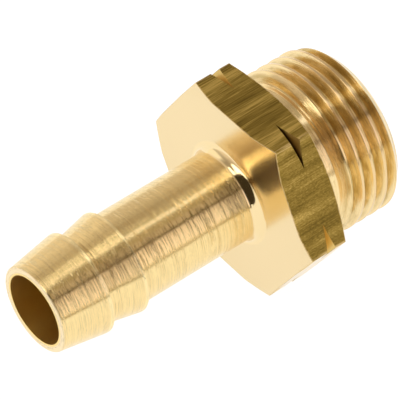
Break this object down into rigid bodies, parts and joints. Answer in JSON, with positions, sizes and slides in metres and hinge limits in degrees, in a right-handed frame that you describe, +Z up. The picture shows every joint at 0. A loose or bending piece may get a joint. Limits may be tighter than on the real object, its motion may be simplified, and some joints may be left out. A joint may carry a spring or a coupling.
{
  "type": "hose barb tail",
  "caption": "Turned brass hose tail: barbed tube, spanner hexagon with nicked corners, thread relief and left-hand male pipe thread, bored straight through.",
  "frame": {"origin": "on the turned axis, in the plane of the hexagon's seat face, the one towards the thread", "axes": "+X along the turned axis towards the threaded end, the hose end at -X; +Z up, square to the hexagon flat that faces up, with the part lying on the opposite flat"},
  "size_m": [0.0356, 0.022, 0.019],
  "materials": {
    "brass": "bright turned, fine tool marks; hexagon flats left as drawn bar"
  },
  "bodies": {
    "root": {"hose_tail_body": "brass"}
  },
  "joints": []
}
